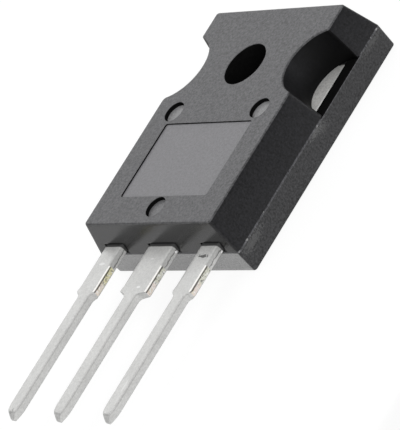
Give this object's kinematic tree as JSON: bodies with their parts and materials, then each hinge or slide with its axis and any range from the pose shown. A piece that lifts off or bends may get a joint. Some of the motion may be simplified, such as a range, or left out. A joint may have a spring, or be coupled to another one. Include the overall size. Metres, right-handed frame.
{
  "type": "power transistor",
  "caption": "Through-hole power transistor with a drafted black moulding, a bare metal heatsink back, a screw hole and flat tinned leads.",
  "frame": {"origin": "centre of the screw hole on the bare metal back of the package", "axes": "+Z out of the marking face along the screw hole, +Y to the end with the screw hole, so the leads run along -Y, and +X across the leads to the right as the marking face is read"},
  "size_m": [0.0158, 0.0356, 0.0049],
  "materials": {
    "moulding": "fine spark-eroded mould texture",
    "heatsink": "matte tin plate over copper",
    "lead": "matte tin plate over copper",
    "silicon": "polished",
    "solder": "satin",
    "wire": "drawn"
  },
  "bodies": {
    "root": {"moulded_body": "moulding", "drain_heatsink": "heatsink", "gate_lead": "lead", "source_lead": "lead", "silicon_die": "silicon", "die_solder": "solder", "gate_bond_wire": "wire", "source_bond_wire_1": "wire", "source_bond_wire_2": "wire", "source_bond_wire_3": "wire", "source_bond_wire_4": "wire"}
  },
  "joints": []
}
